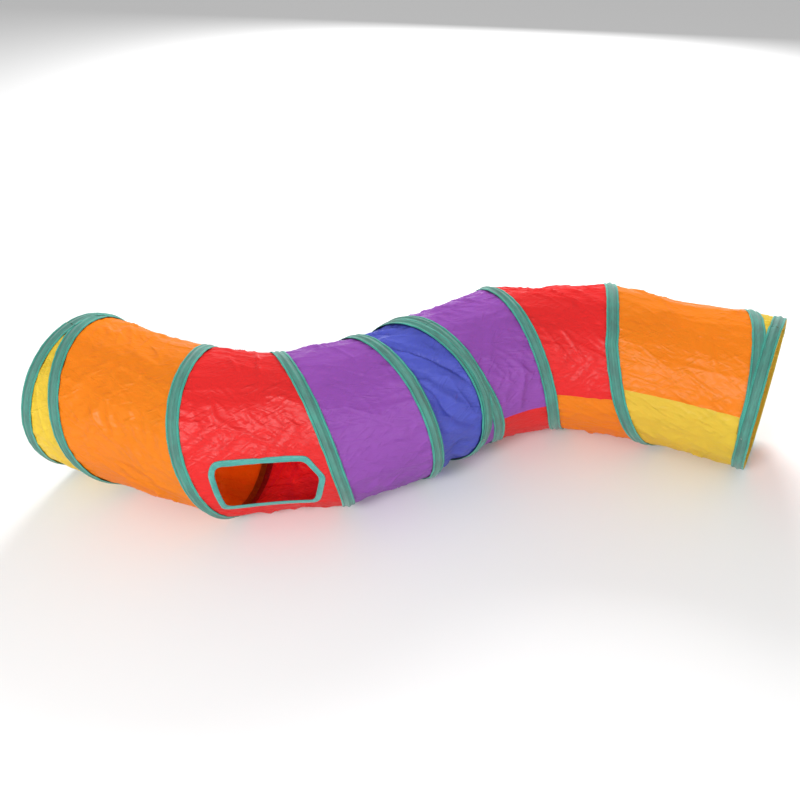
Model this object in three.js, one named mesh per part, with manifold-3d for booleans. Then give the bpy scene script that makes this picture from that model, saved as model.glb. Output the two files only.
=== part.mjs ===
// A collapsible agility tunnel for small pets, lying in an S curve. Two halves of a spring-wire
// coil are crimped to a hoop at each end and to one in the middle. Coloured cloth panels are sewn
// edge to edge along the coil, and binding tape covers the wire. Millimetres, +Z up, +X along the
// tunnel, -Y the side with the window. Angles go round the tunnel in degrees from its top: 90 is
// the window side, 180 the bottom. An unwound angle goes on past 360 with each turn of a coil.
import * as THREE from 'three';
import { mergeVertices } from 'three/addons/utils/BufferGeometryUtils.js';
import Module from 'manifold-3d';

const wasm = await Module();
wasm.setup();

// Driving dimensions: the section
const CLOTH_RADIUS = 125;
const CLOTH_THICKNESS = 0.8;
const WIRE_DIAMETER = 1.8;
const WIRE_RADIUS = 127;
const BINDING_WIDTH = 20;
const BINDING_THICKNESS = 0.7;
const HOOP_BINDING_RADIUS = 129;
const COIL_BINDING_RIDGE = 128.3;
const RIDGE_HALF_WIDTH = 2;
const GAP = 0.3;
const EDGE_GAP = 0.5;
const FLATS = 24;
const CORNER_TOLERANCE = 0.1;

// Driving dimensions: the centreline, an arc for each cell between two stations
const FIRST_HEADING = -28;
const CELLS = [
  { length: 225, bend: 3 },
  { length: 160, bend: 42 },
  { length: 145, bend: 14 },
  { length: 85, bend: 16 },
  { length: 170, bend: -30 },
  { length: 180, bend: -38 },
  { length: 235, bend: -5 },
];
const MIDDLE_STATION = 4;

// Driving dimensions: the coil's two halves. It eases away from a hoop over the ease angle, and
// the turns of the right half lean, most where the phase angle says.
const LEFT_COIL = {
  first: 0, last: MIDDLE_STATION, start: -76, end: 1546, startEase: 100, endEase: 100, lean: 0, leanPhase: 0,
};
const RIGHT_COIL = {
  first: MIDDLE_STATION, last: CELLS.length, start: 44, end: 1171, startEase: 20, endEase: 100, lean: 38,
  leanPhase: 120,
};
const WIRE_PITCH = 2.3;
const LEAN_RUN_IN = 40;

// Driving dimensions: crimped sleeves
const SLEEVE_WALL = 0.5;
const SLEEVE_LENGTH = 8;
const SLEEVE_ANGLE = 255;
const SECTION_SIDES = 6;

// Driving dimensions: cloth panels, in the order of the strip from the left end to the right
const LEFT_SEAMS = [
  { name: 'yellow_panel_left', colour: 'yellow', until: -100 },
  { name: 'orange_panel_left', colour: 'orange', until: 260 },
  { name: 'red_panel_left', colour: 'red', until: 620 },
  { name: 'purple_panel_left', colour: 'purple', until: 980 },
  { name: 'blue_panel_upper', colour: 'blue', until: 1185 },
  { name: 'blue_panel_lower', colour: 'blue', until: Infinity },
];
const RIGHT_SEAMS = [
  { name: 'purple_panel_right', colour: 'purple', until: 96 },
  { name: 'red_panel_right', colour: 'red', until: 446 },
  { name: 'orange_panel_right', colour: 'orange', until: 796 },
  { name: 'yellow_panel_right', colour: 'yellow', until: Infinity },
];
const SEAM_GAP_ANGLE = 0.2;
const WEDGE_TIP_WIDTH = 4;
const UNDER_BINDING = 12;

// Driving dimensions: the window in the left red panel, an uneven opening with eight corners,
// each given along the tunnel and up from the window's place, from the top right one round
const WINDOW = {
  s: 338,
  angle: 90,
  corners: [[82, 6], [59, 38], [-70, 32], [-77, 18], [-71, -23], [-65, -54], [62, -55], [71, -49]],
};
const WINDOW_BINDING_WIDTH = 9;
const CUTTER_DEPTH = 100;

const MATERIALS = {
  yellow: new THREE.MeshStandardMaterial({ color: 0xf2cf26, roughness: 0.45, metalness: 0 }),
  orange: new THREE.MeshStandardMaterial({ color: 0xf58220, roughness: 0.45, metalness: 0 }),
  red: new THREE.MeshStandardMaterial({ color: 0xe3262e, roughness: 0.45, metalness: 0 }),
  purple: new THREE.MeshStandardMaterial({ color: 0x8a3fae, roughness: 0.45, metalness: 0 }),
  blue: new THREE.MeshStandardMaterial({ color: 0x3a4cc4, roughness: 0.45, metalness: 0 }),
  binding: new THREE.MeshStandardMaterial({ color: 0x2f9c84, roughness: 0.6, metalness: 0 }),
  wire: new THREE.MeshStandardMaterial({ color: 0x9a9da0, roughness: 0.35, metalness: 1 }),
};

const { degToRad, clamp } = THREE.MathUtils;
const FLAT_ANGLE = 360 / FLATS;
const HALF_FLAT = degToRad(FLAT_ANGLE / 2);
const HEIGHT = (HOOP_BINDING_RADIUS + BINDING_THICKNESS) * Math.cos(HALF_FLAT);

const tunnel = new THREE.Group();

function addMesh(name, geometry, material, parent = tunnel) {
  const mesh = new THREE.Mesh(geometry, material);
  mesh.name = name;
  parent.add(mesh);
  return mesh;
}

// ---- The centreline ----

function walkStations() {
  const stations = [{ s: 0, x: 0, y: 0, heading: degToRad(FIRST_HEADING) }];
  for (const { length, bend } of CELLS) {
    const from = stations.at(-1);
    stations.push({ s: from.s + length, ...alongArc(from, length, degToRad(bend) / length) });
  }
  return stations;
}

function alongArc({ x, y, heading }, distance, curvature) {
  const turned = heading + distance * curvature;
  return {
    x: x + (Math.sin(turned) - Math.sin(heading)) / curvature,
    y: y - (Math.cos(turned) - Math.cos(heading)) / curvature,
    heading: turned,
  };
}

const STATIONS = walkStations();
const TOTAL = STATIONS.at(-1).s;

function cellAt(s) {
  const cell = STATIONS.findIndex((station) => station.s > s) - 1;
  return s >= TOTAL ? CELLS.length - 1 : Math.max(cell, 0);
}

function curvatureAt(s) {
  const { length, bend } = CELLS[cellAt(s)];
  return degToRad(bend) / length;
}

function centreAt(s) {
  const inside = clamp(s, 0, TOTAL);
  const cell = cellAt(inside);
  const centre = alongArc(STATIONS[cell], inside - STATIONS[cell].s, curvatureAt(inside));
  const beyond = s - inside;
  return {
    x: centre.x + beyond * Math.cos(centre.heading),
    y: centre.y + beyond * Math.sin(centre.heading),
    heading: centre.heading,
  };
}

// A radius holds at the corners of the many-sided section, and less between them.
function flattened(radius, angle) {
  const fromMiddle = angle - FLAT_ANGLE * Math.round(angle / FLAT_ANGLE);
  return (radius * Math.cos(HALF_FLAT)) / Math.cos(degToRad(fromMiddle));
}

function surfacePoint(s, angle, radius) {
  const { x, y, heading } = centreAt(s);
  const r = flattened(radius, angle);
  const across = r * Math.sin(degToRad(angle));
  return new THREE.Vector3(
    x + across * Math.sin(heading),
    y - across * Math.cos(heading),
    r * Math.cos(degToRad(angle)) + HEIGHT,
  );
}

// How much longer the wall is than the centreline, at that angle round a bend
function stretchAt(s, angle) {
  return 1 + curvatureAt(s) * CLOTH_RADIUS * Math.sin(degToRad(angle));
}

// ---- The coil ----

function coilAt(coil, angle) {
  const { first, last, start, end, startEase, endEase, lean, leanPhase } = coil;
  const total = end - start - startEase / 2 - endEase / 2;
  const fromStart = angle - start;
  const toEnd = end - angle;
  let wound = fromStart - startEase / 2;
  if (fromStart < startEase) wound = fromStart ** 2 / (2 * startEase);
  if (toEnd < endEase) wound = total - toEnd ** 2 / (2 * endEase);
  const cells = first + clamp(wound / total, 0, 1) * (last - first);
  const cell = Math.min(Math.floor(cells), last - 1);
  const s = STATIONS[cell].s + (cells - cell) * CELLS[cell].length;
  const fade = Math.min(1, fromStart / LEAN_RUN_IN) * (toEnd / (end - start));
  const sway = Math.sin(degToRad(angle - leanPhase)) - Math.sin(degToRad(start - leanPhase));
  const low = STATIONS[first].s + WIRE_PITCH / stretchAt(STATIONS[first].s + 1, angle);
  const high = STATIONS[last].s - WIRE_PITCH / stretchAt(STATIONS[last].s - 1, angle);
  return clamp(s + lean * fade * sway, low, high);
}

function coilAngleAt(coil, s) {
  let low = coil.start;
  let high = coil.end;
  for (let i = 0; i < 40; i += 1) {
    const middle = (low + high) / 2;
    if (coilAt(coil, middle) < s) low = middle;
    else high = middle;
  }
  return low;
}

// Angles from one to another, with a stop at each corner of the section between them
function anglesBetween(from, to) {
  const angles = [from];
  let corner = (Math.ceil(from / FLAT_ANGLE - 0.5) + 0.5) * FLAT_ANGLE;
  for (; corner < to - CORNER_TOLERANCE; corner += FLAT_ANGLE) {
    if (corner > from + CORNER_TOLERANCE) angles.push(corner);
  }
  angles.push(to);
  return angles;
}

// A path through points, one step from each point to the next
class PolylineCurve extends THREE.Curve {
  constructor(points) {
    super();
    this.points = points;
  }

  getPoint(t, target = new THREE.Vector3()) {
    const place = t * (this.points.length - 1);
    const i = Math.min(Math.floor(place + 1e-9), this.points.length - 2);
    return target.copy(this.points[i]).lerp(this.points[i + 1], place - i);
  }

  getPointAt(t, target) {
    return this.getPoint(t, target);
  }

  getTangentAt(t, target) {
    return this.getTangent(t, target);
  }
}

function roundSection(radius) {
  const section = new THREE.Shape();
  section.absarc(0, 0, radius, 0, 2 * Math.PI);
  return new THREE.Shape(section.getPoints(SECTION_SIDES / 2).slice(0, SECTION_SIDES));
}

function wireAlong(points) {
  return new THREE.ExtrudeGeometry(roundSection(WIRE_DIAMETER / 2), {
    steps: points.length - 1,
    extrudePath: new PolylineCurve(points),
    bevelEnabled: false,
  });
}

// ---- Closed shells between an outer and an inner grid of points ----

function shell(outer, inner) {
  const rows = outer.length;
  const columns = outer[0].length;
  const positions = [outer, inner].flat(2).flatMap((p) => [p.x, p.y, p.z]);
  const faces = [];
  const out = (i, j) => i * columns + j;
  const back = (i, j) => rows * columns + i * columns + j;
  const quad = (a, b, c, d) => faces.push(a, b, c, a, c, d);
  for (let i = 0; i < rows - 1; i += 1) {
    for (let j = 0; j < columns - 1; j += 1) {
      quad(out(i, j), out(i + 1, j), out(i + 1, j + 1), out(i, j + 1));
      quad(back(i, j), back(i, j + 1), back(i + 1, j + 1), back(i + 1, j));
    }
    quad(out(i, 0), back(i, 0), back(i + 1, 0), out(i + 1, 0));
    quad(out(i, columns - 1), out(i + 1, columns - 1), back(i + 1, columns - 1), back(i, columns - 1));
  }
  for (let j = 0; j < columns - 1; j += 1) {
    quad(out(0, j), out(0, j + 1), back(0, j + 1), back(0, j));
    quad(out(rows - 1, j), back(rows - 1, j), back(rows - 1, j + 1), out(rows - 1, j + 1));
  }
  const geometry = new THREE.BufferGeometry();
  geometry.setAttribute('position', new THREE.Float32BufferAttribute(positions, 3));
  geometry.setIndex(faces);
  geometry.computeVertexNormals();
  return geometry;
}

function surfaceGrid(rows, radius) {
  return rows.map(({ angle, stops }) => stops.map((s) => surfacePoint(s, angle, radius)));
}

// ---- Joins and cuts ----

function toSolid(geometry) {
  const bare = geometry.clone();
  bare.deleteAttribute('normal');
  bare.deleteAttribute('uv');
  const merged = mergeVertices(bare, 1e-4);
  const vertProperties = Float32Array.from(merged.attributes.position.array);
  const triVerts = Uint32Array.from(merged.index.array);
  return new wasm.Manifold(new wasm.Mesh({ numProp: 3, vertProperties, triVerts }));
}

function toGeometry(solid) {
  const { vertProperties, triVerts } = solid.getMesh();
  const geometry = new THREE.BufferGeometry();
  geometry.setAttribute('position', new THREE.BufferAttribute(vertProperties, 3));
  geometry.setIndex(new THREE.BufferAttribute(triVerts, 1));
  geometry.computeVertexNormals();
  return geometry;
}

// ---- Hoops: wire, butt sleeve and binding, with the coil's crimped clips ----

// A sleeve lies on the flat at an angle, round wires that are side by side along the tunnel.
function sleeveOver(wires) {
  const bore = WIRE_DIAMETER / 2 + GAP;
  const reach = ((wires - 1) * WIRE_PITCH) / 2;
  const outline = (radius, path) => {
    path.absarc(reach, 0, radius, -Math.PI / 2, Math.PI / 2);
    path.absarc(-reach, 0, radius, Math.PI / 2, (3 * Math.PI) / 2);
    return path;
  };
  const section = outline(bore + SLEEVE_WALL, new THREE.Shape());
  section.holes.push(outline(bore, new THREE.Path()));
  const sleeve = new THREE.ExtrudeGeometry(section, {
    depth: SLEEVE_LENGTH, steps: 1, curveSegments: 5, bevelEnabled: false,
  });
  return sleeve.translate(0, 0, -SLEEVE_LENGTH / 2).rotateX(-Math.PI / 2);
}

function addSleeve(name, wires, station, angle, side, parent) {
  const holder = new THREE.Group();
  holder.rotation.x = degToRad(angle);
  parent.add(holder);
  const sleeve = addMesh(name, sleeveOver(wires), MATERIALS.wire, holder);
  sleeve.position.set(((wires - 1) * WIRE_PITCH * side) / 2, 0, flattened(WIRE_RADIUS, angle));
}

function addHoop(name, station, clips) {
  const hoop = new THREE.Group();
  hoop.position.set(STATIONS[station].x, STATIONS[station].y, HEIGHT);
  hoop.rotation.z = STATIONS[station].heading;
  tunnel.add(hoop);
  const ring = new THREE.TorusGeometry(WIRE_RADIUS, WIRE_DIAMETER / 2, SECTION_SIDES, FLATS);
  addMesh(`${name}_hoop_wire`, ring.rotateZ(HALF_FLAT).rotateY(Math.PI / 2), MATERIALS.wire, hoop);
  addSleeve(`${name}_hoop_sleeve`, 1, station, SLEEVE_ANGLE, 0, hoop);
  for (const { name: clip, angle, side } of clips) addSleeve(clip, 2, station, angle, side, hoop);
  const half = BINDING_WIDTH / 2;
  const top = HOOP_BINDING_RADIUS + BINDING_THICKNESS;
  const profile = [
    [HOOP_BINDING_RADIUS, -half], [top, -half], [top, half], [HOOP_BINDING_RADIUS, half],
    [HOOP_BINDING_RADIUS, -half],
  ].map(([r, along]) => new THREE.Vector2(r, along));
  const band = new THREE.LatheGeometry(profile, FLATS, HALF_FLAT);
  addMesh(`${name}_hoop_binding`, band.rotateZ(-Math.PI / 2), MATERIALS.binding, hoop);
}

// ---- Turns of the coil and the binding over them ----

function turnsOf(coil) {
  const turns = [];
  for (let cell = coil.first; cell < coil.last; cell += 1) {
    const from = cell === coil.first ? coil.start : coilAngleAt(coil, STATIONS[cell].s);
    const to = cell === coil.last - 1 ? coil.end : coilAngleAt(coil, STATIONS[cell + 1].s);
    turns.push({ number: cell + 1, from, to });
  }
  return turns;
}

function addTurn(coil, { number, from, to }) {
  const inset = SEAM_GAP_ANGLE;
  const path = anglesBetween(from + inset, to - inset);
  const points = path.map((angle) => surfacePoint(coilAt(coil, angle), angle, WIRE_RADIUS));
  addMesh(`coil_turn_${number}`, wireAlong(points), MATERIALS.wire);
}

// The binding's section: feet on the cloth either side, and a ridge over the wire
function addCoilBinding(coil, { number, from, to }) {
  const clear = BINDING_WIDTH + GAP;
  const low = coilAngleAt(coil, STATIONS[coil.first].s + clear);
  const high = coilAngleAt(coil, STATIONS[coil.last].s - clear);
  const inset = SEAM_GAP_ANGLE;
  const angles = anglesBetween(Math.max(from + inset, low), Math.min(to - inset, high));
  const foot = CLOTH_RADIUS + GAP;
  const profile = [
    [-BINDING_WIDTH / 2, foot], [-RIDGE_HALF_WIDTH, COIL_BINDING_RIDGE],
    [RIDGE_HALF_WIDTH, COIL_BINDING_RIDGE], [BINDING_WIDTH / 2, foot],
  ];
  const row = (angle, rise) => profile.map(([along, radius]) => {
    const s = coilAt(coil, angle);
    return surfacePoint(s + along / stretchAt(s, angle), angle, radius + rise);
  });
  const outer = angles.map((angle) => row(angle, BINDING_THICKNESS));
  const inner = angles.map((angle) => row(angle, 0));
  addMesh(`coil_binding_${number}`, shell(outer, inner), MATERIALS.binding);
}

// ---- Cloth panels, between one turn of the coil and the next ----

function panelEdges(coil, angle) {
  const left = angle < coil.start ? STATIONS[coil.first].s : coilAt(coil, angle);
  const right = angle + 360 > coil.end ? STATIONS[coil.last].s : coilAt(coil, angle + 360);
  return { left, right };
}

function panelRows(coil, from, to) {
  return anglesBetween(from, to).map((angle) => {
    const { left, right } = panelEdges(coil, angle);
    const width = right - left;
    const stretch = stretchAt((left + right) / 2, angle);
    const edge = EDGE_GAP / stretch;
    const covered = Math.min(UNDER_BINDING / stretch, width / 4);
    const third = (width - 2 * covered) / 3;
    const stops = [
      left + edge, left + covered, left + covered + third, right - covered - third, right - covered, right - edge,
    ];
    return { angle, stops };
  });
}

// The angle nearest to a tip of the strip where it is wide enough to be cloth
function wedgeTip(coil, tip, direction) {
  let angle = tip;
  let width = 0;
  while (width < WEDGE_TIP_WIDTH) {
    angle += direction;
    const { left, right } = panelEdges(coil, angle);
    width = right - left;
  }
  return angle;
}

function panelsOf(coil, seams) {
  let from = wedgeTip(coil, coil.start - 360, 1);
  return seams.map(({ name, colour, until }) => {
    const to = until === Infinity ? wedgeTip(coil, coil.end, -1) : until;
    const rows = panelRows(coil, from + SEAM_GAP_ANGLE, to - SEAM_GAP_ANGLE);
    from = to;
    return { name, colour, rows };
  });
}

function clothShell(rows, inside, outside) {
  return shell(surfaceGrid(rows, outside), surfaceGrid(rows, inside));
}

// ---- The window: a prism through the wall, with its corners cut off ----

function windowCorners(grow) {
  const corners = WINDOW.corners.map(([x, y]) => new THREE.Vector2(x, y));
  const outwards = corners.map((corner, i) => {
    const side = corners[(i + 1) % corners.length].clone().sub(corner).normalize();
    return new THREE.Vector2(side.y, -side.x);
  });
  return corners.map((corner, i) => {
    const [before, after] = [outwards.at(i - 1), outwards[i]];
    return corner.clone().addScaledVector(before.clone().add(after), grow / (1 + before.dot(after)));
  });
}

function windowPrism(grow) {
  const { s, angle } = WINDOW;
  const outline = new THREE.Shape(windowCorners(grow));
  const prism = new THREE.ExtrudeGeometry(outline, { depth: CUTTER_DEPTH, bevelEnabled: false });
  const middle = surfacePoint(s, angle, CLOTH_RADIUS);
  return prism
    .translate(0, 0, -CUTTER_DEPTH / 2)
    .rotateX(degToRad(90))
    .rotateZ(centreAt(s).heading)
    .translate(middle.x, middle.y, middle.z);
}

function addPanel({ name, colour, rows }) {
  const inside = CLOTH_RADIUS - CLOTH_THICKNESS;
  const cloth = clothShell(rows, inside, CLOTH_RADIUS);
  if (name !== 'red_panel_left') {
    addMesh(name, cloth, MATERIALS[colour]);
    return;
  }
  const half = WINDOW_BINDING_WIDTH / 2;
  const foot = CLOTH_RADIUS + GAP;
  const frame = toSolid(windowPrism(half)).subtract(toSolid(windowPrism(-half)));
  const skin = toSolid(clothShell(rows, foot, foot + BINDING_THICKNESS));
  addMesh(name, toGeometry(toSolid(cloth).subtract(toSolid(windowPrism(0)))), MATERIALS[colour]);
  addMesh('window_binding', toGeometry(skin.intersect(frame)), MATERIALS.binding);
}

// ---- Putting it together, from left to right ----

const clipAngle = (angle) => Math.round(angle / FLAT_ANGLE) * FLAT_ANGLE;

addHoop('left', 0, [{ name: 'left_coil_clip', angle: clipAngle(LEFT_COIL.start), side: 1 }]);
addHoop('middle', MIDDLE_STATION, [
  { name: 'middle_clip_left', angle: clipAngle(LEFT_COIL.end), side: -1 },
  { name: 'middle_clip_right', angle: clipAngle(RIGHT_COIL.start), side: 1 },
]);
addHoop('right', CELLS.length, [{ name: 'right_coil_clip', angle: clipAngle(RIGHT_COIL.end), side: -1 }]);

for (const [coil, seams] of [[LEFT_COIL, LEFT_SEAMS], [RIGHT_COIL, RIGHT_SEAMS]]) {
  for (const turn of turnsOf(coil)) {
    addTurn(coil, turn);
    addCoilBinding(coil, turn);
  }
  for (const panel of panelsOf(coil, seams)) addPanel(panel);
}

// The origin is under the middle of the tunnel's box, on the floor.
tunnel.updateMatrixWorld(true);
const box = new THREE.Box3().setFromObject(tunnel, true);
tunnel.position.set(-(box.min.x + box.max.x) / 2, -(box.min.y + box.max.y) / 2, -box.min.z);

export default tunnel;
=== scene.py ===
import math
import bmesh
import bpy
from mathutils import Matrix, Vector, noise
from mathutils.bvhtree import BVHTree
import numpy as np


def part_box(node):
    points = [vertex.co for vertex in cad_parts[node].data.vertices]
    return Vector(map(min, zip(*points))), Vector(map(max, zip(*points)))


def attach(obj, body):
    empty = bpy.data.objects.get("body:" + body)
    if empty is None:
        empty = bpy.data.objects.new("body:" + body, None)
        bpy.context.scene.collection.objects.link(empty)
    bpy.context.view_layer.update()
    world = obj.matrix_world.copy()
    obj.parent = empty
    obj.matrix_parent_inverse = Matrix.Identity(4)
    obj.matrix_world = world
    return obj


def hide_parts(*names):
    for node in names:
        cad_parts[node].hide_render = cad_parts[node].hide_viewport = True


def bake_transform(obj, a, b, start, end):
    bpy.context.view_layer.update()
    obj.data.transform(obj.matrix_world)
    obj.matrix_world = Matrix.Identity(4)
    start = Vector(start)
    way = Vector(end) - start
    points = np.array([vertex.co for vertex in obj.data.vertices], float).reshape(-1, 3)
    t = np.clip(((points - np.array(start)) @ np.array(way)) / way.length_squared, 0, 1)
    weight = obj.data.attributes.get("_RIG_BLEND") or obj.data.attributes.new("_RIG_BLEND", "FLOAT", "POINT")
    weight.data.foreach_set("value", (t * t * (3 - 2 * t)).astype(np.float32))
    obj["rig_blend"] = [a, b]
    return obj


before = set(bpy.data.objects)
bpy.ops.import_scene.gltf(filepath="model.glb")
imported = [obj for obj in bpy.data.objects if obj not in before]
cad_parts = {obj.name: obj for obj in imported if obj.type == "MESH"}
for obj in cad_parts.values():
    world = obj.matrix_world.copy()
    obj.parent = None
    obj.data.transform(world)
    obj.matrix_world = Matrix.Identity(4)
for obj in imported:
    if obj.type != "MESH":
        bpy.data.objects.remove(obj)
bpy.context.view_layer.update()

# The camera stands in front of the tunnel's long side and looks down on it. It stays level.
CAMERA_AIM = Vector((0.0019, -0.0030, 0.1286))
CAMERA_DISTANCE = 1.55
CAMERA_ELEVATION = math.radians(36.53)
camera_data = bpy.data.cameras.new("camera")
camera_data.lens = 43.1
camera_data.sensor_width = 36
camera_data.shift_x = -0.028
camera_data.shift_y = -0.008
camera = bpy.data.objects.new("camera", camera_data)
camera.location = CAMERA_AIM + CAMERA_DISTANCE * Vector(
    (0, -math.cos(CAMERA_ELEVATION), math.sin(CAMERA_ELEVATION))
)
camera.rotation_euler = (math.pi / 2 - CAMERA_ELEVATION, 0, 0)
bpy.context.scene.collection.objects.link(camera)
bpy.context.scene.camera = camera
bpy.context.scene.view_settings.view_transform = "Standard"

# ---- The tunnel's route ----
# The tunnel lies in an S curve: an arc for each cell between one station of the coil and the
# next. A station is a place where the coil has gone once more round from the hoop before it.
# Angles go round the tunnel in degrees: 0 at the top, 90 on the window's side.
FIRST_HEADING = math.radians(-28)
CELL_LENGTHS = (0.225, 0.160, 0.145, 0.085, 0.170, 0.180, 0.235)
CELL_BENDS = tuple(math.radians(bend) for bend in (3, 42, 14, 16, -30, -38, -5))
MIDDLE_STATION = 4
BODIES = ("left_hoop", "ring_1", "ring_2", "ring_3", "middle_hoop", "ring_5", "ring_6", "right_hoop")
CLOTH_RADIUS = 0.125


def walk(x, y, heading, distance, curvature):
    turned = heading + distance * curvature
    return (
        x + (math.sin(turned) - math.sin(heading)) / curvature,
        y - (math.cos(turned) - math.cos(heading)) / curvature,
        turned,
    )


low_corner, high_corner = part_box("left_hoop_wire")
first_centre = (low_corner + high_corner) / 2
AXIS_HEIGHT = first_centre.z
STATION_S = [0.0]
STATION_AT = [(first_centre.x, first_centre.y, FIRST_HEADING)]
for cell_length, cell_bend in zip(CELL_LENGTHS, CELL_BENDS):
    STATION_AT.append(walk(*STATION_AT[-1], cell_length, cell_bend / cell_length))
    STATION_S.append(STATION_S[-1] + cell_length)


def cell_at(s):
    for cell in range(len(CELL_LENGTHS) - 1):
        if s < STATION_S[cell + 1]:
            return cell
    return len(CELL_LENGTHS) - 1


def centre_at(s):
    inside = min(max(s, 0), STATION_S[-1])
    cell = cell_at(inside)
    curvature = CELL_BENDS[cell] / CELL_LENGTHS[cell]
    x, y, heading = walk(*STATION_AT[cell], inside - STATION_S[cell], curvature)
    beyond = s - inside
    return x + beyond * math.cos(heading), y + beyond * math.sin(heading), heading


def outward_at(heading, degrees):
    side = math.sin(math.radians(degrees))
    return Vector((side * math.sin(heading), -side * math.cos(heading), math.cos(math.radians(degrees))))


def wall_point(s, degrees, radius):
    x, y, heading = centre_at(s)
    return Vector((x, y, AXIS_HEIGHT)) + radius * outward_at(heading, degrees)


def stretch_at(s, degrees):
    cell = cell_at(s)
    curvature = CELL_BENDS[cell] / CELL_LENGTHS[cell]
    return 1 + curvature * CLOTH_RADIUS * math.sin(math.radians(degrees))


# ---- The spring wire ----
# One coil of round spring wire in each half, crimped to a closed hoop at both of its ends.
# Coil turns follow the fold joints from station to station; the three hoops stay round.
WIRE_DIAMETER = 0.0018
WIRE_RADIUS = 0.127
WIRE_SIDES = 10
WIRE_STEP = 2.5
WIRE_PITCH = 0.0023
LEAN_RUN_IN = 40


class Coil:
    """Half of the tunnel's coil, from the hoop at one station to the hoop at another. It eases
    away from a hoop over the ease angle, and its turns lean most where the phase angle says."""

    def __init__(self, first, last, start, end, start_ease, lean, lean_phase):
        self.first, self.last, self.start, self.end = first, last, start, end
        self.start_ease, self.end_ease = start_ease, 100
        self.lean, self.lean_phase = lean, lean_phase

    def at(self, angle):
        total = self.end - self.start - self.start_ease / 2 - self.end_ease / 2
        from_start, to_end = angle - self.start, self.end - angle
        wound = from_start - self.start_ease / 2
        if from_start < self.start_ease:
            wound = from_start**2 / (2 * self.start_ease)
        if to_end < self.end_ease:
            wound = total - to_end**2 / (2 * self.end_ease)
        cells = self.first + min(max(wound / total, 0), 1) * (self.last - self.first)
        cell = min(int(cells), self.last - 1)
        s = STATION_S[cell] + (cells - cell) * CELL_LENGTHS[cell]
        fade = min(1, from_start / LEAN_RUN_IN) * to_end / (self.end - self.start)
        sway = math.sin(math.radians(angle - self.lean_phase))
        sway -= math.sin(math.radians(self.start - self.lean_phase))
        low, high = STATION_S[self.first], STATION_S[self.last]
        low += WIRE_PITCH / stretch_at(low + 0.001, angle)
        high -= WIRE_PITCH / stretch_at(high - 0.001, angle)
        return min(max(s + self.lean * fade * sway, low), high)

    def angle_at(self, s):
        low, high = self.start, self.end
        for _ in range(40):
            middle = (low + high) / 2
            low, high = (middle, high) if self.at(middle) < s else (low, middle)
        return low

    def turns(self):
        """The station each turn starts from, and its first and last angle"""
        ends = [self.start]
        ends += [self.angle_at(STATION_S[station]) for station in range(self.first + 1, self.last)]
        ends.append(self.end)
        return [(self.first + i, ends[i], ends[i + 1]) for i in range(len(ends) - 1)]


LEFT_COIL = Coil(0, MIDDLE_STATION, -76, 1546, 100, 0, 0)
RIGHT_COIL = Coil(MIDDLE_STATION, 7, 44, 1171, 20, 0.038, 120)


class Socket:
    """An output of a node. Arithmetic on it adds Math nodes."""

    def __init__(self, finish, link):
        self.finish, self.link = finish, link

    def math(self, operation, *values):
        return self.finish.node("ShaderNodeMath", {"operation": operation}, dict(enumerate(values)))

    def __add__(self, other):
        return self.math("ADD", self, other)

    def __sub__(self, other):
        return self.math("SUBTRACT", self, other)

    def __rsub__(self, other):
        return self.math("SUBTRACT", other, self)

    def __mul__(self, other):
        return self.math("MULTIPLY", self, other)

    def __truediv__(self, other):
        return self.math("DIVIDE", self, other)

    def __abs__(self):
        return self.math("ABSOLUTE", self)

    __radd__ = __add__
    __rmul__ = __mul__


class Finish:
    """A material, made of nodes"""

    def __init__(self, name):
        self.material = bpy.data.materials.new(name)
        self.material.use_nodes = True
        self.tree = self.material.node_tree
        self.tree.nodes.clear()

    def node(self, kind, settings=None, inputs=None, output=0):
        node = self.tree.nodes.new(kind)
        for key, value in (settings or {}).items():
            setattr(node, key, value)
        for key, value in (inputs or {}).items():
            if isinstance(value, Socket):
                self.tree.links.new(node.inputs[key], value.link)
            else:
                node.inputs[key].default_value = value
        return Socket(self, node.outputs[output])

    def noise(self, place, scale, detail=2.0):
        return self.node("ShaderNodeTexNoise", {}, {"Vector": place, "Scale": scale, "Detail": detail})

    def ramp(self, value, low, high):
        """0 below low, 1 above high, smooth between"""
        return self.node(
            "ShaderNodeMapRange", {"interpolation_type": "SMOOTHSTEP"},
            {"Value": value, "From Min": low, "From Max": high},
        )

    def mix(self, factor, a, b):
        return self.node("ShaderNodeMix", {"data_type": "RGBA"}, {0: factor, 6: a, 7: b}, output=2)

    def output(self, shader):
        self.node_output = self.tree.nodes.new("ShaderNodeOutputMaterial")
        self.tree.links.new(self.node_output.inputs["Surface"], shader.link)
        return self.material


def spring_steel():
    finish = Finish("spring_steel")
    place = finish.node("ShaderNodeTexCoord", output="Object")
    drawn = finish.noise(place, 900)
    spots = finish.noise(place, 60, 3.0)
    colour = finish.mix(finish.ramp(spots, 0.4, 0.7), (0.42, 0.42, 0.43, 1), (0.56, 0.56, 0.56, 1))
    bump = finish.node("ShaderNodeBump", {}, {"Strength": 0.2, "Distance": 0.0002, "Height": drawn})
    return finish.output(finish.node("ShaderNodeBsdfPrincipled", {}, {
        "Base Color": colour, "Metallic": 1.0, "Roughness": 0.25 + 0.2 * drawn, "Normal": bump,
    }))


SPRING_STEEL = spring_steel()


def flat_grid(columns, rows, first, last):
    """A flat grid to map: x runs from 0 to 1 across, y from first to last along"""
    grid = bmesh.new()
    bmesh.ops.create_grid(grid, x_segments=columns, y_segments=rows, size=0.5)
    for vert in grid.verts:
        vert.co = (vert.co.x + 0.5, first + (vert.co.y + 0.5) * (last - first), 0)
    return grid


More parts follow.
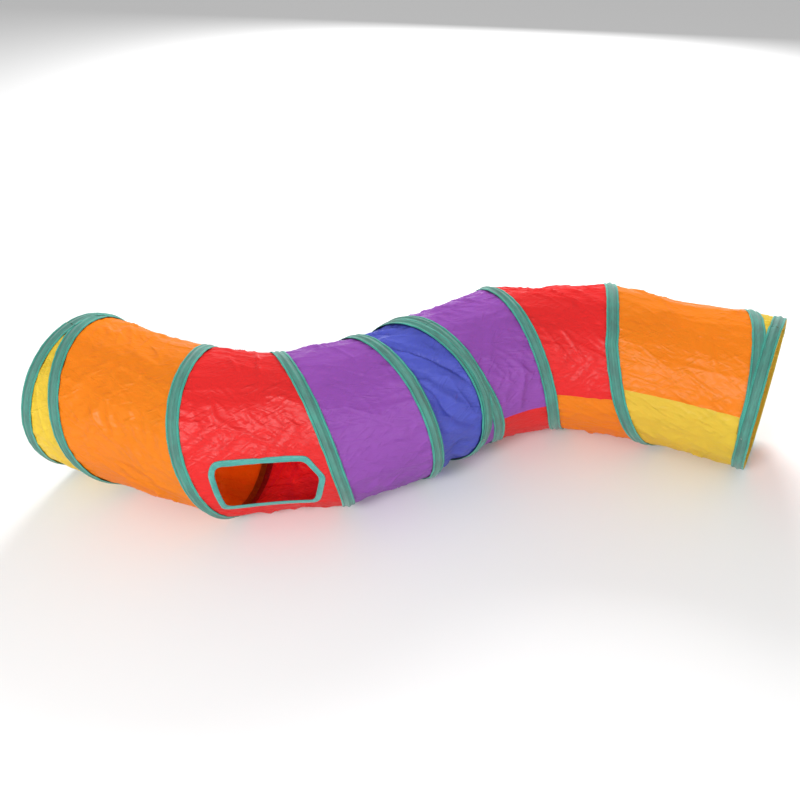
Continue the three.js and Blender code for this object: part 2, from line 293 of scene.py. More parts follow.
def add_piece(name, shape, material):
    mesh = bpy.data.meshes.new(name)
    shape.to_mesh(mesh)
    mesh.materials.append(material)
    mesh.shade_smooth()
    piece = bpy.data.objects.new(name, mesh)
    bpy.context.scene.collection.objects.link(piece)
    return piece


def wire_shape(s_at, first, last):
    """A round wire along the wall from one angle to another, and how far along it each point is"""
    steps = max(2, round((last - first) / WIRE_STEP))
    shape = flat_grid(WIRE_SIDES, steps, first, last)
    along = shape.verts.layers.float.new("along")
    for vert in shape.verts:
        turn, angle = 2 * math.pi * vert.co.x, vert.co.y
        s = s_at(angle)
        x, y, heading = centre_at(s)
        forward = Vector((math.cos(heading), math.sin(heading), 0))
        section = outward_at(heading, angle) * math.cos(turn) + forward * math.sin(turn)
        vert[along] = s
        vert.co = wall_point(s, angle, WIRE_RADIUS) + section * WIRE_DIAMETER / 2
    bmesh.ops.remove_doubles(shape, verts=shape.verts, dist=1e-5)
    bmesh.ops.holes_fill(shape, edges=shape.edges, sides=WIRE_SIDES + 1)
    bmesh.ops.recalc_face_normals(shape, faces=shape.faces)
    return shape


def gather(piece, cell):
    """The piece gathers evenly between the cell's two stations as their fold joint closes"""
    mesh = piece.data
    along = [point.value for point in mesh.attributes["along"].data]
    start, end = (Vector((*STATION_AT[station][:2], AXIS_HEIGHT)) for station in (cell, cell + 1))
    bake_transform(piece, BODIES[cell], BODIES[cell + 1], start=start, end=end)
    weights = [min(max((s - STATION_S[cell]) / CELL_LENGTHS[cell], 0), 1) for s in along]
    mesh.attributes["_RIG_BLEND"].data.foreach_set("value", weights)
    mesh.attributes.remove(mesh.attributes["along"])


for hoop, station in (("left_hoop", 0), ("middle_hoop", MIDDLE_STATION), ("right_hoop", 7)):
    ring = wire_shape(lambda angle: STATION_S[station], 0, 360)
    ring.verts.layers.float.remove(ring.verts.layers.float["along"])
    hoop_wire = add_piece(f"{hoop}_spring_wire", ring, SPRING_STEEL)
    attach(hoop_wire, hoop)
    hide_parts(f"{hoop}_wire")
    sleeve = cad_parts[f"{hoop}_sleeve"]
    for slot in sleeve.material_slots:
        slot.material = SPRING_STEEL
for clip in ("left_coil_clip", "middle_clip_left", "middle_clip_right", "right_coil_clip"):
    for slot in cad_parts[clip].material_slots:
        slot.material = SPRING_STEEL
for coil in (LEFT_COIL, RIGHT_COIL):
    for cell, turn_first, turn_last in coil.turns():
        turn_wire = add_piece(f"spring_wire_turn_{cell + 1}", wire_shape(coil.at, turn_first, turn_last), SPRING_STEEL)
        gather(turn_wire, cell)
        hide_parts(f"coil_turn_{cell + 1}")

# ---- The cloth panels ----
# A strip of thin woven polyester goes round between each turn of the wire and the next. Its
# panels are sewn end to end in a rainbow of colours, and its edges are sewn along the wire.
CLOTH_THICKNESS = 0.0005
ACROSS = 64
ROW_ANGLE = 1.5
TIP_WIDTH = 0.003
MOST_RELIEF = 0.003
FOLD_LEAN = 0.8
FLOOR_CLEARANCE = 0.0015
TAPE_HALF_WIDTH = 0.010
CLOTH_EASE = 1.02


def strip_edges(coil, angle):
    left = STATION_S[coil.first] if angle < coil.start else coil.at(angle)
    right = STATION_S[coil.last] if angle + 360 > coil.end else coil.at(angle + 360)
    return left, right


def ridges(x, y, seed):
    """Sharp creases from 0 to 1, a unit apart"""
    return (1 - min(1, abs(2.6 * noise.noise(Vector((x, y, seed)))))) ** 3


def cloth_relief(across, along, width, slack, calm):
    """How far the cloth stands out from its straight span, at a place on the flat strip"""
    edge = min(across, width - across)
    free = max(0, edge - 0.006)
    hold = 1 - math.exp(-free / 0.022)
    sag = -0.030 * width * (4 * across * (width - across) / width**2)
    swell = 0.0034 * noise.noise(Vector((across / 0.075, along / 0.055, 1.7)))
    swell += 0.0026 * noise.noise(Vector((across / 0.15, along / 0.026, 4.1)))
    pull = math.exp(-free / 0.030) * min(1, free / 0.006)
    gathers = 0.0032 * pull * noise.noise(Vector((across / 0.06, along / 0.0125, 8.3)))
    creases = 0
    for lean, seed in ((0.35, 11.0), (-0.8, 23.0), (1.25, 37.0)):
        far = across * math.cos(lean) + along * math.sin(lean)
        near = along * math.cos(lean) - across * math.sin(lean)
        patch = max(0, noise.noise(Vector((across / 0.09, along / 0.09, seed))) + 0.22)
        creases += 0.0054 * patch * ridges(far / 0.13, near / 0.030, seed)
        creases += 0.0020 * patch * ridges(far / 0.07, near / 0.017, seed + 3)
    crumple = 0
    if slack > 0:
        far = across * math.cos(FOLD_LEAN) + along * math.sin(FOLD_LEAN)
        near = along * math.cos(FOLD_LEAN) - across * math.sin(FOLD_LEAN)
        crumple = 0.015 * noise.noise(Vector((far / 0.12, near / 0.028, 51.0)))
        crumple -= 0.008 * ridges(far / 0.15, near / 0.055, 57.0)
    relief = sag * (1 + 0.6 * slack) + calm * (hold * (swell + creases + slack * crumple) + gathers)
    return min(relief, MOST_RELIEF + 0.2 * (relief - MOST_RELIEF))


def slack_at(coil, angle):
    """How slack the cloth is: taut but in the blue panels, which aren't pulled open"""
    if coil is RIGHT_COIL:
        return 0
    return min(max((angle - 975) / 60, 0), 1)


def span_point(coil, s, angle, radius):
    """A point of the cloth's straight span from wire to wire"""
    left, right = strip_edges(coil, angle)
    t = (s - left) / max(right - left, 1e-6)
    start, end = wall_point(left, angle, radius), wall_point(right, angle, radius)
    straight = start.lerp(end, t)
    return straight.lerp(wall_point(s, angle, radius), 0.12), (end - start).length, t


def drape(strip, coil, uv_layer):
    """Maps a flat strip onto the tunnel. Its points keep how far along the tunnel they are, and
    how far from a wire"""
    along_layer = strip.verts.layers.float.new("along")
    wire_layer = strip.verts.layers.float.new("from_wire")
    places = {}
    for vert in strip.verts:
        s, angle = vert.co.x, vert.co.y
        point, width, t = span_point(coil, s, angle, CLOTH_RADIUS)
        across, along = t * width, math.radians(angle) * CLOTH_RADIUS
        outward = outward_at(centre_at(s)[2], angle)
        calm = min(1, 0.25 + max(0, beyond_window(point)) / 0.030)
        point += cloth_relief(across, along, max(width, 1e-4), slack_at(coil, angle), calm) * outward
        point.z = max(point.z, FLOOR_CLEARANCE)
        places[vert] = (across, along)
        vert[along_layer] = s
        vert[wire_layer] = min(across, width - across)
        vert.co = point
    for face in strip.faces:
        for loop in face.loops:
            loop[uv_layer].uv = places[loop.vert]
    bmesh.ops.reverse_faces(strip, faces=strip.faces)


def keep_normals(shape):
    """Notes the way each point of a whole sheet faces, before it is parted"""
    fair = shape.verts.layers.float_vector.new("fair")
    shape.normal_update()
    for vert in shape.verts:
        vert[fair] = vert.normal


def cut_out(shape, measure, low, high, thickness):
    """A copy of the part of a sheet where a measure is from low to high, with its thickness"""
    part = shape.copy()
    layer = part.verts.layers.float[measure]
    unwanted = []
    for face in part.faces:
        mean = sum(vert[layer] for vert in face.verts) / len(face.verts)
        if not low < mean < high:
            unwanted.append(face)
    bmesh.ops.delete(part, geom=unwanted, context="FACES")
    if part.faces:
        bmesh.ops.solidify(part, geom=part.faces, thickness=thickness)
    return part


def keep_shading(piece):
    """Shades a piece as part of the whole sheet, so that no line shows where it was parted"""
    mesh = piece.data
    fair = [Vector(point.vector) for point in mesh.attributes["fair"].data]
    normals = []
    for polygon in mesh.polygons:
        for vertex in polygon.vertices:
            facing = polygon.normal.dot(fair[vertex])
            whole = fair[vertex] if facing > 0 else -fair[vertex]
            normals.append(whole if abs(facing) > 0.4 else polygon.normal)
    mesh.normals_split_custom_set([tuple(normal) for normal in normals])
    mesh.attributes.remove(mesh.attributes["fair"])


def flat_size(piece):
    """Width and length of the smallest rectangle that a sheet's flat pattern is cut from, and
    the pattern's area"""
    uvs = [loop.uv for loop in piece.data.uv_layers["flat"].data][::7]
    rectangles = []
    for degrees in range(0, 90, 3):
        c, s = math.cos(math.radians(degrees)), math.sin(math.radians(degrees))
        xs, ys = [uv.x * c + uv.y * s for uv in uvs], [uv.y * c - uv.x * s for uv in uvs]
        rectangles.append((max(xs) - min(xs), max(ys) - min(ys)))
    width, length = min(rectangles, key=lambda size: size[0] * size[1])
    width, length = max(width, 0.011), max(length, 0.011)
    area = sum(polygon.area for polygon in piece.data.polygons) / 2 * CLOTH_EASE
    return width, length, min(max(area, 0.301 * width * length), width * length)


def taffeta(name, colour, deep_and_crease_shade, shade):
    """Thin shiny woven polyester: a fine weave, threads of uneven thickness, small creases, with painted shade in the
    creases and beside the wire
    """
    finish = Finish(name)
    uv = finish.node("ShaderNodeUVMap", {"uv_map": "flat"})
    split = {axis: finish.node("ShaderNodeSeparateXYZ", {}, {0: uv}, output=axis) for axis in ("X", "Y")}
    stretch = lambda x, y: finish.node(
        "ShaderNodeCombineXYZ", {}, {"X": split["X"] * x, "Y": split["Y"] * y, "Z": 0.0}
    )
    weft, warp = finish.noise(stretch(30, 1600), 1.0), finish.noise(stretch(1600, 30), 1.0)
    threads = (weft + warp) * 0.5
    cloud = finish.noise(stretch(14, 14), 1.0, 3.0)
    def creases(x, y, slant):
        """Fine sharp creases, mostly across a slant of the strip"""
        place = finish.node("ShaderNodeCombineXYZ", {}, {
            "X": (split["X"] + split["Y"] * slant) * x, "Y": (split["Y"] - split["X"] * slant) * y, "Z": slant,
        })
        return finish.node(
            "ShaderNodeTexNoise", {"noise_type": "RIDGED_MULTIFRACTAL"},
            {"Vector": place, "Scale": 1.0, "Detail": 2.0, "Roughness": 0.4, "Distortion": 0.6},
        )

    long_creases = creases(8, 60, 0.0) * 0.4 + creases(12, 52, 0.7) * 0.4
    crease = long_creases + creases(30, 130, -0.6) * 0.24 + creases(36, 150, 0.3) * 0.16
    from_wire = finish.node("ShaderNodeAttribute", {"attribute_name": "from_wire"}, output="Fac")
    # Painted shade: within about 10 mm of the wire, where the tape lies over the cloth, the colour is darkened towards
    # the shade colour.
    shade_near_wire = 1 - finish.ramp(from_wire, 0.0085, 0.0105)
    # Painted shade: along the creases the colour darkens towards the deep colour, on top of its random tone of threads
    # and mottling.
    crease_shade = finish.ramp(crease, 0.95, 0.45)
    tone_and_crease_shade = finish.ramp(threads * 0.30 + cloud * 0.25 + crease_shade * 0.45, 0.34, 0.72)
    dye_and_crease_shade = finish.mix(tone_and_crease_shade, deep_and_crease_shade, colour)
    base = finish.mix(shade_near_wire * 0.8, dye_and_crease_shade, shade)
    height = threads * 0.04 + crease
    bump = finish.node("ShaderNodeBump", {}, {"Strength": 1.0, "Distance": 0.0058, "Height": height})
    shiny = finish.node("ShaderNodeBsdfPrincipled", {}, {
        "Base Color": base, "Roughness": 0.30 + 0.16 * threads, "Sheen Weight": 0.08,
        "Sheen Roughness": 0.4, "Sheen Tint": colour, "Specular IOR Level": 0.45, "Normal": bump,
    })
    glow = finish.node("ShaderNodeBsdfTranslucent", {}, {"Color": base, "Normal": bump})
    return finish.output(finish.node("ShaderNodeMixShader", {}, {0: 0.50, 1: shiny, 2: glow}))


# Each cloth's colours: its own, the deep colour of its random tone and of the painted crease shade, and the colour of
# the painted shade beside the wire.
CLOTH = {
    "yellow": taffeta("yellow_taffeta", (0.87, 0.71, 0.078, 1), (0.76, 0.58, 0.045, 1), (0.42, 0.24, 0.01, 1)),
    "orange": taffeta("orange_taffeta", (0.95, 0.345, 0.010, 1), (0.84, 0.235, 0.003, 1), (0.34, 0.08, 0.004, 1)),
    "red": taffeta("red_taffeta", (0.90, 0.034, 0.034, 1), (0.68, 0.014, 0.018, 1), (0.30, 0.016, 0.010, 1)),
    "purple": taffeta("purple_taffeta", (0.44, 0.125, 0.62, 1), (0.28, 0.064, 0.44, 1), (0.12, 0.03, 0.18, 1)),
    "blue": taffeta("blue_taffeta", (0.130, 0.165, 0.72, 1), (0.062, 0.085, 0.50, 1), (0.02, 0.04, 0.20, 1)),
}
PANELS = (
    (LEFT_COIL, (
        ("yellow_panel_left", "yellow", -100), ("orange_panel_left", "orange", 260),
        ("red_panel_left", "red", 620), ("purple_panel_left", "purple", 980),
        ("blue_panel_upper", "blue", 1185), ("blue_panel_lower", "blue", None),
    )),
    (RIGHT_COIL, (
        ("purple_panel_right", "purple", 96), ("red_panel_right", "red", 446),
        ("orange_panel_right", "orange", 796), ("yellow_panel_right", "yellow", None),
    )),
)
WINDOW_S = 0.338
WINDOW_CORNERS = [
    Vector(corner) for corner in (
        (0.082, 0.006), (0.059, 0.038), (-0.070, 0.032), (-0.077, 0.018),
        (-0.071, -0.023), (-0.065, -0.054), (0.062, -0.055), (0.071, -0.049),
    )
]
window_x, window_y, window_heading = centre_at(WINDOW_S)
WINDOW_OUT = outward_at(window_heading, 90)
WINDOW_ALONG = Vector((math.cos(window_heading), math.sin(window_heading), 0))
WINDOW_MIDDLE = wall_point(WINDOW_S, 90, CLOTH_RADIUS)


def window_corners(grow):
    """The window's eight corners, along and up from its middle, from the top right one round,
    with every side moved outwards"""
    outwards = []
    for corner, after in zip(WINDOW_CORNERS, WINDOW_CORNERS[1:] + WINDOW_CORNERS[:1]):
        side = (after - corner).normalized()
        outwards.append(Vector((side.y, -side.x)))
    return [
        corner + (outwards[i - 1] + outwards[i]) * grow / (1 + outwards[i - 1].dot(outwards[i]))
        for i, corner in enumerate(WINDOW_CORNERS)
    ]


def on_window(point):
    """A point's place along and up from the window's middle, and how far in front of the wall"""
    offset = point - WINDOW_MIDDLE
    return offset.dot(WINDOW_ALONG), offset.z, offset.dot(WINDOW_OUT)


def beyond_window(point):
    """Roughly how far a point of the wall is outside the window"""
    x, y, out = on_window(point)
    return max(abs(x) - 0.076, abs(y + 0.008) - 0.044) if out > -0.08 else 1


def cut_window(shape):
    corners = window_corners(0)
    for corner, after in zip(corners, corners[1:] + corners[:1]):
        near = []
        for face in shape.faces:
            x, y, out = on_window(face.calc_center_median())
            if abs(x) < 0.1 and abs(y) < 0.075 and out > -0.08:
                near.append(face)
        edges = {edge for face in near for edge in face.edges}
        verts = {vert for face in near for vert in face.verts}
        side = after - corner
        across = WINDOW_ALONG * side.y - Vector((0, 0, side.x))
        place = WINDOW_MIDDLE + WINDOW_ALONG * corner.x + Vector((0, 0, corner.y))
        bmesh.ops.bisect_plane(shape, geom=[*near, *edges, *verts], plane_co=place, plane_no=across, dist=1e-6)
    inside = []
    for face in shape.faces:
        x, y, out = on_window(face.calc_center_median())
        turns = [
            (after - corner).cross(Vector((x, y)) - corner)
            for corner, after in zip(corners, corners[1:] + corners[:1])
        ]
        if out > -0.08 and min(turns) > 0:
            inside.append(face)
    bmesh.ops.delete(shape, geom=inside, context="FACES")


def tip_angle(coil, tip, direction):
    angle = tip
    width = 0
    while width < TIP_WIDTH:
        angle += direction
        left, right = strip_edges(coil, angle)
        width = right - left
    return angle


whole_red_panel = None
for coil, panels in PANELS:
    panel_first = tip_angle(coil, coil.start - 360, 1)
    for panel, colour, panel_last in panels:
        if panel_last is None:
            panel_last = tip_angle(coil, coil.end, -1)
        strip = flat_grid(ACROSS, round((panel_last - panel_first) / ROW_ANGLE), panel_first, panel_last)
        for vert in strip.verts:
            left, right = strip_edges(coil, vert.co.y)
            vert.co.x = left + vert.co.x * (right - left)
        for station in range(coil.first + 1, coil.last):
            bmesh.ops.bisect_plane(
                strip, geom=[*strip.verts, *strip.edges, *strip.faces],
                plane_co=(STATION_S[station], 0, 0), plane_no=(1, 0, 0), dist=1e-6,
            )
        flat_layer = strip.loops.layers.uv.new("flat")
        drape(strip, coil, flat_layer)
        if panel == "red_panel_left":
            whole_red_panel = BVHTree.FromBMesh(strip)
            red_along = [
                sum(vert[strip.verts.layers.float["along"]] for vert in face.verts) / len(face.verts)
                for face in strip.faces
            ]
            cut_window(strip)
        keep_normals(strip)
        for cell in range(coil.first, coil.last):
            part = cut_out(strip, "along", STATION_S[cell], STATION_S[cell + 1], CLOTH_THICKNESS)
            if not part.faces:
                continue
            cloth = add_piece(f"{panel}_cloth_{cell + 1}", part, CLOTH[colour])
            keep_shading(cloth)
            gather(cloth, cell)
            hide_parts(panel)
            width, length, area = flat_size(cloth)
        panel_first = panel_last

# At the two mouths the cloth goes on past the hoop, and is hemmed under the hoop's tape.
HEM_WIDTH = 0.0125
HEM_RADIUS = 0.1247
for hoop, first_s in (("left_hoop", -0.0102), ("right_hoop", STATION_S[-1] + 0.0102 - HEM_WIDTH)):
    hem = flat_grid(6, round(360 / ROW_ANGLE), 0, 360)
    hem_flat = hem.loops.layers.uv.new("flat")
    for face in hem.faces:
        for loop in face.loops:
            loop[hem_flat].uv = (loop.vert.co.x * HEM_WIDTH, math.radians(loop.vert.co.y) * HEM_RADIUS)
    for vert in hem.verts:
        vert.co = wall_point(first_s + vert.co.x * HEM_WIDTH, vert.co.y, HEM_RADIUS)
    bmesh.ops.remove_doubles(hem, verts=hem.verts, dist=1e-5)
    bmesh.ops.reverse_faces(hem, faces=hem.faces)
    bmesh.ops.solidify(hem, geom=hem.faces, thickness=CLOTH_THICKNESS)
    hem_piece = add_piece(f"{hoop}_hem", hem, CLOTH["yellow"])
    hem_along = hem_piece.data.attributes.new("from_wire", "FLOAT", "POINT")
    hem_along.data.foreach_set("value", [HEM_WIDTH] * len(hem_piece.data.vertices))
    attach(hem_piece, hoop)

# ---- The binding tape ----
# Woven tape 20 mm wide covers each turn of the wire and each hoop. Its long edges are folded
# under and sewn to the cloth on both sides, so the wire shows as a ridge down its middle.
TAPE_THICKNESS = 0.0005
TAPE_STOPS = (0, 0.0008, 0.0016, 0.0024, 0.0035, 0.0050, 0.0062, 0.0066, 0.0070, 0.0080, 0.0092, 0.0098, 0.0101)
TAPE_RADII = (
    0.12845, 0.12830, 0.12785, 0.12710, 0.12650, 0.12625, 0.12620, 0.12650, 0.12675, 0.12680, 0.12670,
    0.12635, 0.12560,
)
TAPE_COLUMNS = 2 * (len(TAPE_STOPS) - 1)
OVERLAP = 0.0006
NARROW_STRIP = 0.030
TAPE_END_WIDTH = 0.74
TAPE_END_TAPER = 14


def tape_radius(x):
    x = abs(x)
    for i in range(len(TAPE_STOPS) - 1):
        if x <= TAPE_STOPS[i + 1]:
            t = (x - TAPE_STOPS[i]) / (TAPE_STOPS[i + 1] - TAPE_STOPS[i])
            return TAPE_RADII[i] + t * (TAPE_RADII[i + 1] - TAPE_RADII[i])
    return 0


def beside(coil, unwound, radius, x, wire_s):
    """A point x to one side of the wire, laid flat on the strip of cloth that is there"""
    wire = wall_point(wire_s, unwound, radius)
    heading = centre_at(wire_s)[2]
    way = Vector((math.cos(heading), math.sin(heading), 0))
    if coil:
        left, right = (wall_point(s, unwound, radius) for s in strip_edges(coil, unwound))
        width = (right - left).length
        if width > NARROW_STRIP:
            share = min(1, (width - NARROW_STRIP) / NARROW_STRIP)
            way = way.lerp((right - left) / width, share).normalized()
    return wire + x * way


def lay_tape(tape, s_at, radius_at, strips_at, wide_at):
    """Maps a flat tape along the wall. s_at says where the wire runs, radius_at the tape's
    section, strips_at which strips of cloth lie left and right of it, wide_at its spread"""
    along_layer = tape.verts.layers.float.new("along")
    angle_layer = tape.verts.layers.float.new("angle")
    flat = tape.loops.layers.uv.new("flat")
    places = {}
    for vert in tape.verts:
        column, angle = round(vert.co.x * TAPE_COLUMNS) - TAPE_COLUMNS // 2, vert.co.y
        x = math.copysign(TAPE_STOPS[abs(column)], column)
        along = math.radians(angle) * WIRE_RADIUS
        radius = radius_at(x, angle)
        free = abs(x) / TAPE_HALF_WIDTH
        radius += 0.0007 * free**2 * noise.noise(Vector((x / 0.02, along / 0.011, 3.0)))
        wander = 0.0009 * noise.noise(Vector((0.5, along / 0.05, 9.0)))
        wander += 0.0006 * free * noise.noise(Vector((x / 0.01, along / 0.016, 15.0)))
        coil, unwound = strips_at(angle)[0 if x < 0 else 1]
        places[vert] = (x, along)
        vert[along_layer] = s_at(angle)
        vert[angle_layer] = angle
        vert.co = beside(coil, unwound, radius, (x + wander) * wide_at(angle), s_at(angle))
        vert.co.z = max(vert.co.z, 0.0002 + TAPE_RADII[0] - radius)
    for face in tape.faces:
        for loop in face.loops:
            loop[flat].uv = places[loop.vert]
    bmesh.ops.reverse_faces(tape, faces=tape.faces)


def binding_tape():
    """Woven tape: greyish between its folded edges, greener along them, with a row of stitches, a painted highlight
    along the ridge over the wire and painted shade in the grooves of its folds
    """
    finish = Finish("binding_tape")
    uv = finish.node("ShaderNodeUVMap", {"uv_map": "flat"})
    x = finish.node("ShaderNodeSeparateXYZ", {}, {0: uv}, output="X")
    y = finish.node("ShaderNodeSeparateXYZ", {}, {0: uv}, output="Y")
    off_middle = abs(x)
    lengthways = finish.noise(finish.node("ShaderNodeCombineXYZ", {}, {"X": x * 2600, "Y": y * 90}), 1.0, 3.0)
    crossways = finish.noise(finish.node("ShaderNodeCombineXYZ", {}, {"X": x * 200, "Y": y * 1500}), 1.0)
    patch_noise = finish.noise(finish.node("ShaderNodeCombineXYZ", {}, {"X": x * 60, "Y": y * 25}), 1.0, 3.0)
    fold = finish.ramp(off_middle, 0.0060, 0.0067)
    crease = finish.ramp(abs(off_middle - 0.0063), 0.0009, 0.0001)
    # The tape is greyer and darker in random patches along its length.
    patchy = finish.ramp(lengthways * 0.6 + patch_noise * 0.4, 0.38, 0.62)
    ridge = finish.ramp(off_middle, 0.0016, 0.0008)
    middle = finish.mix(patchy, (0.058, 0.150, 0.128, 1), (0.056, 0.262, 0.205, 1))
    edge = finish.mix(patchy, (0.020, 0.210, 0.155, 1), (0.042, 0.345, 0.270, 1))
    woven = finish.mix(fold, middle, edge)
    # Painted highlight: a lighter line along the ridge over the wire, patchy along the tape.
    ridge_highlighted = finish.mix(ridge * patch_noise * 0.35, woven, (0.12, 0.34, 0.27, 1))
    # Painted shade: a dark line along the groove where each edge is folded under.
    fold_shaded = finish.mix(crease * 0.45, ridge_highlighted, (0.015, 0.08, 0.07, 1))
    step = finish.node("ShaderNodeMath", {"operation": "PINGPONG"}, {0: y, 1: 0.0018})
    stitch = finish.ramp(abs(off_middle - 0.0079), 0.0005, 0.0002) * finish.ramp(step, 0.0004, 0.0006)
    sewn = finish.mix(stitch * 0.6, fold_shaded, (0.09, 0.38, 0.30, 1))
    height = lengthways * 0.3 + crossways * 0.3 + stitch * 0.5 - crease * 0.6
    bump = finish.node("ShaderNodeBump", {}, {"Strength": 0.6, "Distance": 0.0006, "Height": height})
    return finish.output(finish.node("ShaderNodeBsdfPrincipled", {}, {
        "Base Color": sewn, "Roughness": 0.55 + 0.2 * lengthways, "Sheen Weight": 0.2,
        "Sheen Roughness": 0.5, "Specular IOR Level": 0.35, "Normal": bump,
    }))


BINDING_TAPE = binding_tape()


def off_hoop(coil, angle, station):
    """How far the coil has gone from the hoop at a station, over the cloth's surface"""
    return (coil.at(angle) - STATION_S[station]) * stretch_at(STATION_S[station], angle)


def end_taper(coil, angle):
    """The coil's tape slants, and narrows where it ends under a hoop's tape"""
    slant = (coil.at(angle + 1) - coil.at(angle - 1)) * stretch_at(coil.at(angle), angle)
    slant /= 2 * math.radians(1) * WIRE_RADIUS
    from_end = min(angle - coil.start, coil.end - angle) / TAPE_END_TAPER
    return math.hypot(1, slant) * (TAPE_END_WIDTH + (1 - TAPE_END_WIDTH) * min(1, max(0, from_end)))


for coil in (LEFT_COIL, RIGHT_COIL):
    tape = flat_grid(TAPE_COLUMNS, round((coil.end - coil.start) / ROW_ANGLE), coil.start, coil.end)
    for _, _, turn_last in coil.turns()[:-1]:
        bmesh.ops.bisect_plane(
            tape, geom=[*tape.verts, *tape.edges, *tape.faces],
            plane_co=(0, turn_last, 0), plane_no=(0, 1, 0), dist=1e-6,
        )
    lay_tape(
        tape, coil.at, lambda x, angle: tape_radius(x),
        lambda angle: ((coil, angle - 360), (coil, angle)), lambda angle: end_taper(coil, angle),
    )
    keep_normals(tape)
    for cell, turn_first, turn_last in coil.turns():
        part = cut_out(tape, "angle", turn_first, turn_last, TAPE_THICKNESS)
        turn_tape = add_piece(f"coil_tape_{cell + 1}", part, BINDING_TAPE)
        keep_shading(turn_tape)
        gather(turn_tape, cell)
        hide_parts(f"coil_binding_{cell + 1}")

# The hoops' tape is laid last, over the ends of the coil's tape.
for hoop, station in (("left_hoop", 0), ("middle_hoop", MIDDLE_STATION), ("right_hoop", 7)):

    def over_coil(x, angle):
        radius = tape_radius(x)
        for coil in (LEFT_COIL, RIGHT_COIL):
            for end_station, turn_start in ((coil.first, coil.start), (coil.last, coil.end - 360)):
                if end_station == station:
                    unwound = turn_start + (angle - turn_start) % 360
                    under = tape_radius(x - off_hoop(coil, unwound, station))
                    radius = max(radius, under + OVERLAP if under else 0)
        return radius

    tape = flat_grid(TAPE_COLUMNS, round(360 / ROW_ANGLE), 0, 360)
    def hoop_strips(angle):
        before = (LEFT_COIL if station == MIDDLE_STATION else RIGHT_COIL) if station else None
        after = (LEFT_COIL if station == 0 else RIGHT_COIL) if station < 7 else None
        return (
            (before, before.end - (before.end - angle) % 360 if before else angle),
            (after, after.start - 360 + (angle - after.start) % 360 if after else angle),
        )

    lay_tape(tape, lambda angle: STATION_S[station], over_coil, hoop_strips, lambda angle: 1)
    bmesh.ops.remove_doubles(tape, verts=tape.verts, dist=2e-5)
    bmesh.ops.smooth_vert(tape, verts=tape.verts, factor=0.5, use_axis_x=True, use_axis_y=True, use_axis_z=True)
    keep_normals(tape)
    hoop_tape = add_piece(f"{hoop}_tape", cut_out(tape, "angle", -1, 361, TAPE_THICKNESS), BINDING_TAPE)
    keep_shading(hoop_tape)
    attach(hoop_tape, hoop)
    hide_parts(f"{hoop}_binding")

# ---- The window's binding ----
# A narrower tape, folded over the raw edge of the opening and mitred at its eight corners.
WINDOW_TAPE_HALF_WIDTH = 0.0045
WINDOW_TAPE_SIDES = 12
CORNER_ROUNDING = 0.009


def rounded_corner(ring, place):
    """A point of the window's outline. A whole number is a corner, and corners are rounded"""
    side, nearest = int(place) % 8, round(place) % 8
    share = 0.5 - 0.5 * math.cos(math.pi * (place - int(place)))
    spot = ring[side].lerp(ring[(side + 1) % 8], share)
    corner, ends = ring[nearest], (ring[nearest - 1], ring[(nearest + 1) % 8])
    reach = [min(CORNER_ROUNDING, 0.48 * (end - corner).length) for end in ends]
    start, finish = (corner + (end - corner).normalized() * r for end, r in zip(ends, reach))
    past = place >= round(place)
    distance = (spot - corner).length / reach[past]
    if distance >= 1:
        return spot
    turn = 0.5 + (0.5 if past else -0.5) * distance
    return start * (1 - turn)**2 + corner * 2 * turn * (1 - turn) + finish * turn**2


rim = flat_grid(WINDOW_TAPE_SIDES, 8 * 22, 0, 8)
rim_along = rim.verts.layers.float.new("along")
rim_flat = rim.loops.layers.uv.new("flat")
rim_places = {}
for vert in rim.verts:
    turn, place = 2 * math.pi * vert.co.x, vert.co.y
    offset = WINDOW_TAPE_HALF_WIDTH * math.cos(turn)
    rise = 0.0011 * math.copysign(abs(math.sin(turn)) ** 0.4, math.sin(turn))
    spot = rounded_corner(window_corners(offset), place)
    along = place * 0.04
    rise += 0.0004 * noise.noise(Vector((offset / 0.004, along / 0.009, 5.0)))
    start = WINDOW_MIDDLE + WINDOW_ALONG * spot.x + Vector((0, 0, spot.y)) + WINDOW_OUT * 0.05
    hit, normal, index, _ = whole_red_panel.ray_cast(start, -WINDOW_OUT)
    vert[rim_along] = red_along[index]
    rim_places[vert] = (offset, along)
    vert.co = hit + WINDOW_OUT * (rise + 0.0004)
for face in rim.faces:
    for loop in face.loops:
        loop[rim_flat].uv = rim_places[loop.vert]
bmesh.ops.remove_doubles(rim, verts=rim.verts, dist=1e-5)
bmesh.ops.recalc_face_normals(rim, faces=rim.faces)


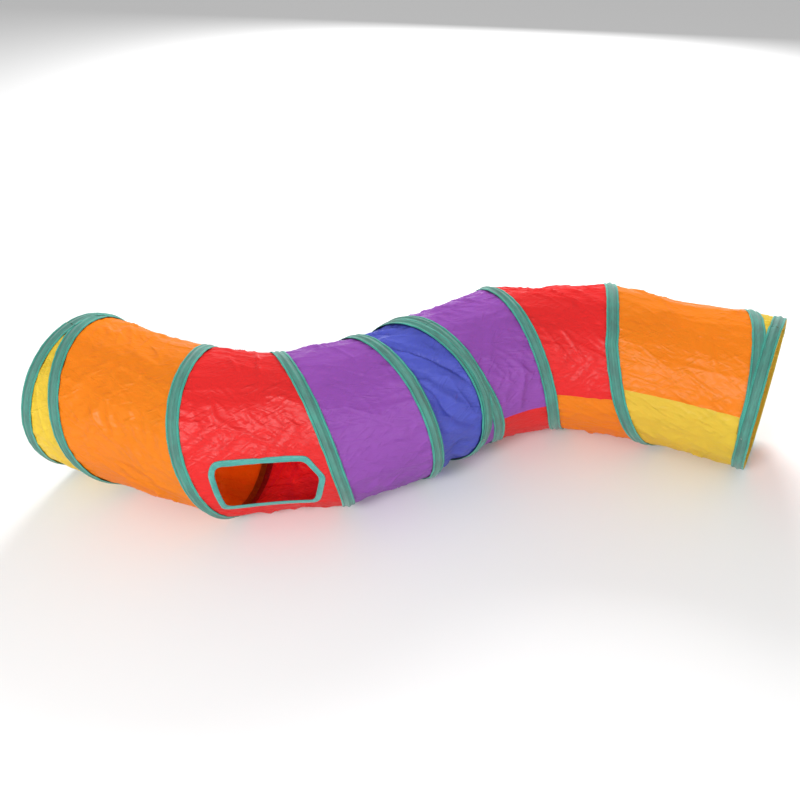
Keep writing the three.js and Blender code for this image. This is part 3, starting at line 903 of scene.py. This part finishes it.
def narrow_tape():
    """The window's tape: plain, lighter, and stitched near its outer edge"""
    finish = Finish("window_tape")
    uv = finish.node("ShaderNodeUVMap", {"uv_map": "flat"})
    x = finish.node("ShaderNodeSeparateXYZ", {}, {0: uv}, output="X")
    y = finish.node("ShaderNodeSeparateXYZ", {}, {0: uv}, output="Y")
    threads = finish.noise(finish.node("ShaderNodeCombineXYZ", {}, {"X": x * 2400, "Y": y * 300}), 1.0, 3.0)
    patch_noise = finish.noise(finish.node("ShaderNodeCombineXYZ", {}, {"X": x * 100, "Y": y * 60}), 1.0, 3.0)
    woven = finish.mix(
        finish.ramp(threads * 0.5 + patch_noise * 0.5, 0.38, 0.62), (0.035, 0.235, 0.205, 1), (0.075, 0.350, 0.310, 1)
    )
    step = finish.node("ShaderNodeMath", {"operation": "PINGPONG"}, {0: y, 1: 0.0018})
    stitch = finish.ramp(abs(x - 0.0030), 0.0005, 0.0002) * finish.ramp(step, 0.0004, 0.0006)
    sewn = finish.mix(stitch * 0.6, woven, (0.16, 0.52, 0.45, 1))
    bump = finish.node(
        "ShaderNodeBump", {}, {"Strength": 0.6, "Distance": 0.0006, "Height": threads * 0.4 + stitch * 0.6}
    )
    return finish.output(finish.node("ShaderNodeBsdfPrincipled", {}, {
        "Base Color": sewn, "Roughness": 0.5 + 0.2 * threads, "Sheen Weight": 0.2,
        "Sheen Roughness": 0.5, "Specular IOR Level": 0.35, "Normal": bump,
    }))


window_tape = add_piece("window_tape", rim, narrow_tape())
gather(window_tape, 1)
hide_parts("window_binding")

# ---- Floor and light ----
floor_shape = bmesh.new()
bmesh.ops.create_grid(floor_shape, x_segments=1, y_segments=1, size=6)
floor_finish = Finish("pale_floor")
floor_material = floor_finish.output(floor_finish.node("ShaderNodeBsdfPrincipled", {}, {
    "Base Color": (0.86, 0.86, 0.86, 1), "Roughness": 0.8,
}))
floor = add_piece("floor", floor_shape, floor_material)
for name, place, size, power, glints in (
    ("key", (-1.0, -2.1, 1.6), 0.7, 46, True), ("fill", (1.5, -1.9, 1.2), 1.4, 16, True),
    ("back", (0.3, 2.1, 1.0), 1.2, 85, False),
):
    lamp = bpy.data.lights.new(name, "AREA")
    lamp.size, lamp.energy = size, power
    light = bpy.data.objects.new(name, lamp)
    light.location = place
    light.visible_glossy = glints
    light.rotation_euler = (Vector((0, 0, 0.1)) - Vector(place)).to_track_quat("-Z", "Y").to_euler()
    bpy.context.scene.collection.objects.link(light)
world = bpy.data.worlds.new("studio")
world.use_nodes = True
world.node_tree.nodes["Background"].inputs["Color"].default_value = (1, 1, 1, 1)
world.node_tree.nodes["Background"].inputs["Strength"].default_value = 0.50
bpy.context.scene.world = world
